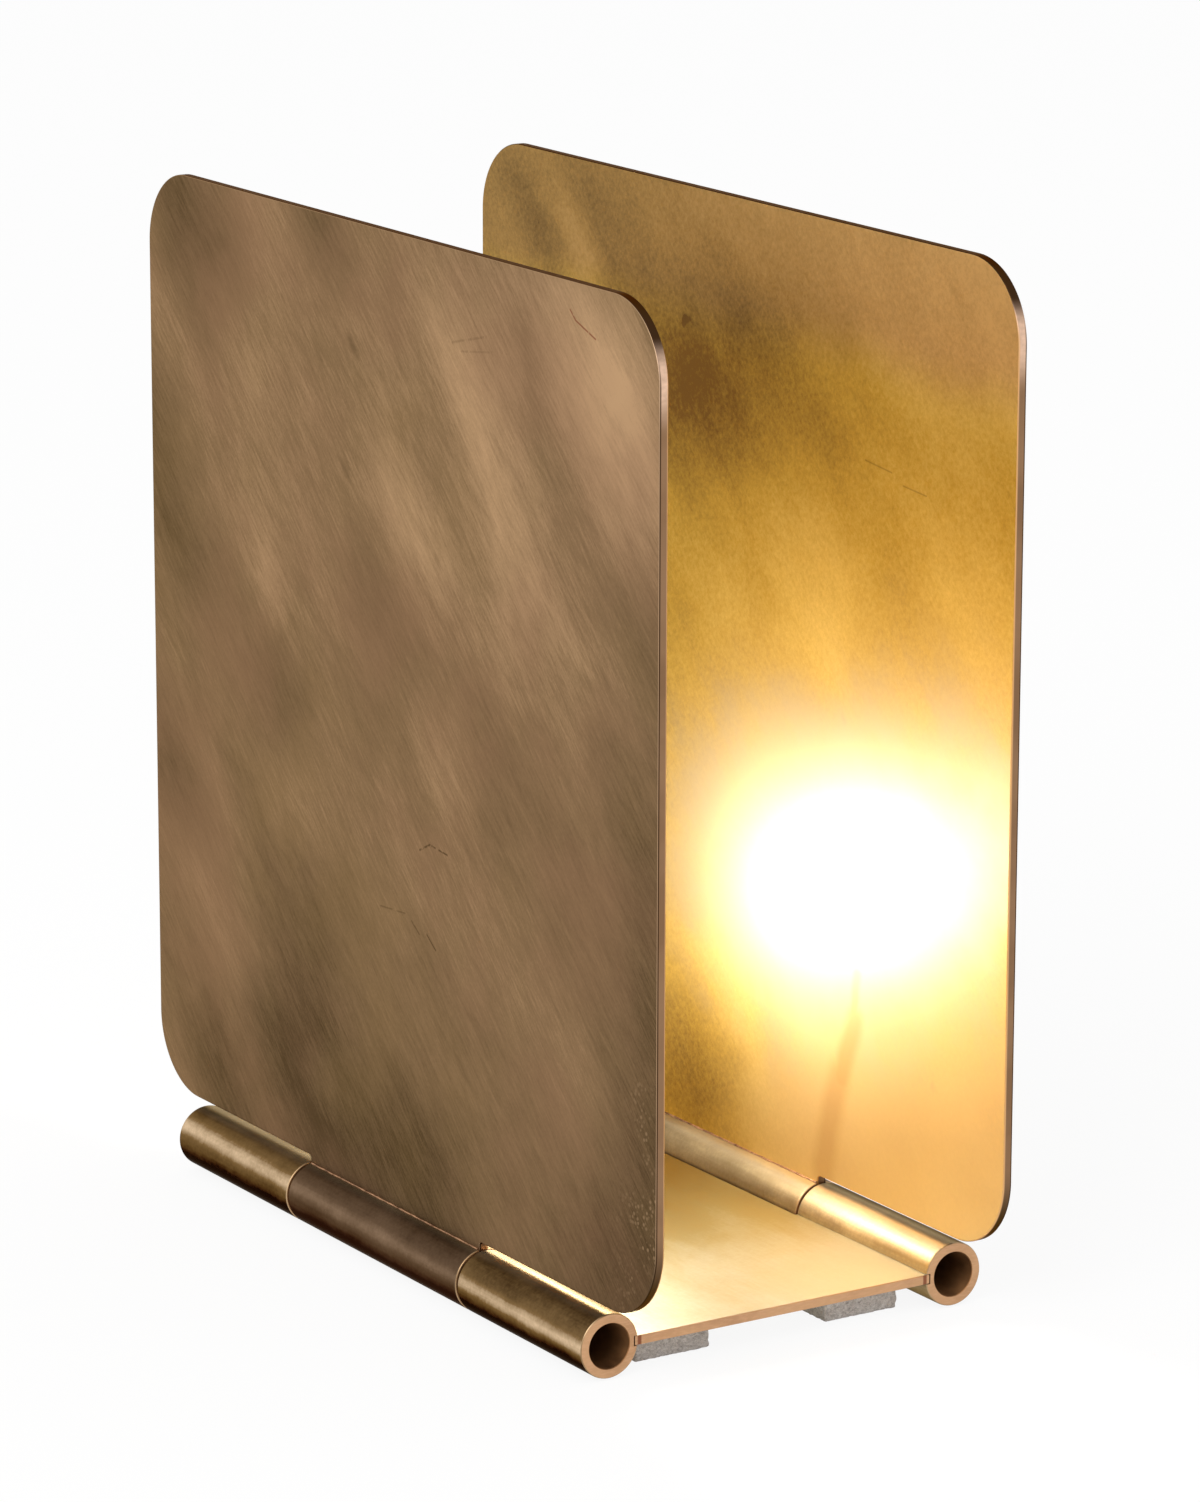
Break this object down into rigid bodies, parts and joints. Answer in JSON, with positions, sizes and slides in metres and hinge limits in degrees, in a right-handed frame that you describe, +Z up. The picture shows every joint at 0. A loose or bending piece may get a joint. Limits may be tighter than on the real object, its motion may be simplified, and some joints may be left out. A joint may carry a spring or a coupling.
{
  "type": "bedside lamp",
  "caption": "Brass table lamp shaped like a giant hinge: two tall round-cornered leaves turn on knuckle hinges along a base plate and shade a small globe bulb between them.",
  "frame": {"origin": "on the table, under the middle of the base plate, at the underside of the felt pads", "axes": "+Z up; +Y along the hinge tubes, from front to rear; +X across the lamp, from the left leaf to the right leaf"},
  "size_m": [0.144, 0.298, 0.3249],
  "materials": {
    "patinated_brass": "brushed brass with a brown patina",
    "satin_brass": "satin brushed brass",
    "felt": "pressed wool felt",
    "steel": "turned steel",
    "bronze": "plain bearing bronze",
    "friction_fibre": "dark friction fibre",
    "porcelain": "glazed porcelain",
    "black_plastic": "black moulded plastic",
    "opal_glass": "opal glass, lit from inside",
    "clear_glass": "clear glass",
    "nickel": "nickel wire",
    "tungsten": "coiled tungsten wire"
  },
  "bodies": {
    "base": {"base_plate": "satin_brass", "left_front_knuckle": "satin_brass", "left_rear_knuckle": "satin_brass", "right_front_knuckle": "satin_brass", "right_rear_knuckle": "satin_brass", "left_front_felt_pad": "felt", "left_rear_felt_pad": "felt", "right_front_felt_pad": "felt", "right_rear_felt_pad": "felt", "left_hinge_pin": "steel", "right_hinge_pin": "steel", "left_inner_disc_spring": "steel", "left_outer_disc_spring": "steel", "right_inner_disc_spring": "steel", "right_outer_disc_spring": "steel", "left_lock_nut": "steel", "right_lock_nut": "steel", "left_front_plug": "satin_brass", "left_rear_plug": "satin_brass", "right_front_plug": "satin_brass", "right_rear_plug": "satin_brass", "left_front_friction_washer": "friction_fibre", "left_rear_friction_washer": "friction_fibre", "right_front_friction_washer": "friction_fibre", "right_rear_friction_washer": "friction_fibre", "left_front_grub_screw": "steel", "left_rear_grub_screw": "steel", "right_front_grub_screw": "steel", "right_rear_grub_screw": "steel", "nipple": "steel", "nipple_nut": "steel", "nipple_washer": "steel", "earth_tag": "satin_brass", "inlet_bush": "black_plastic", "holder_cap": "satin_brass", "holder_skirt": "satin_brass", "holder_core": "porcelain", "screw_contact": "satin_brass", "centre_contact": "satin_brass", "left_terminal_screw": "steel", "right_terminal_screw": "steel", "bulb_glass": "opal_glass", "bulb_cap": "satin_brass", "bulb_insulator": "black_plastic", "bulb_tip": "nickel", "bulb_stem": "clear_glass", "left_bulb_lead": "nickel", "right_bulb_lead": "nickel", "bulb_filament": "tungsten"},
    "left_wing": {"left_leaf": "patinated_brass", "left_centre_knuckle": "patinated_brass", "left_front_bush": "bronze", "left_rear_bush": "bronze"},
    "right_wing": {"right_leaf": "patinated_brass", "right_centre_knuckle": "patinated_brass", "right_front_bush": "bronze", "right_rear_bush": "bronze"}
  },
  "joints": [
    {"name": "left_hinge", "type": "hinge", "parent": "base", "child": "left_wing", "pos_m": [-0.062, 0, 0.0105], "axis": [0, -1, 0], "range_deg": [-10, 90]},
    {"name": "right_hinge", "type": "hinge", "parent": "base", "child": "right_wing", "pos_m": [0.062, 0, 0.0105], "axis": [0, 1, 0], "range_deg": [-10, 90]}
  ]
}
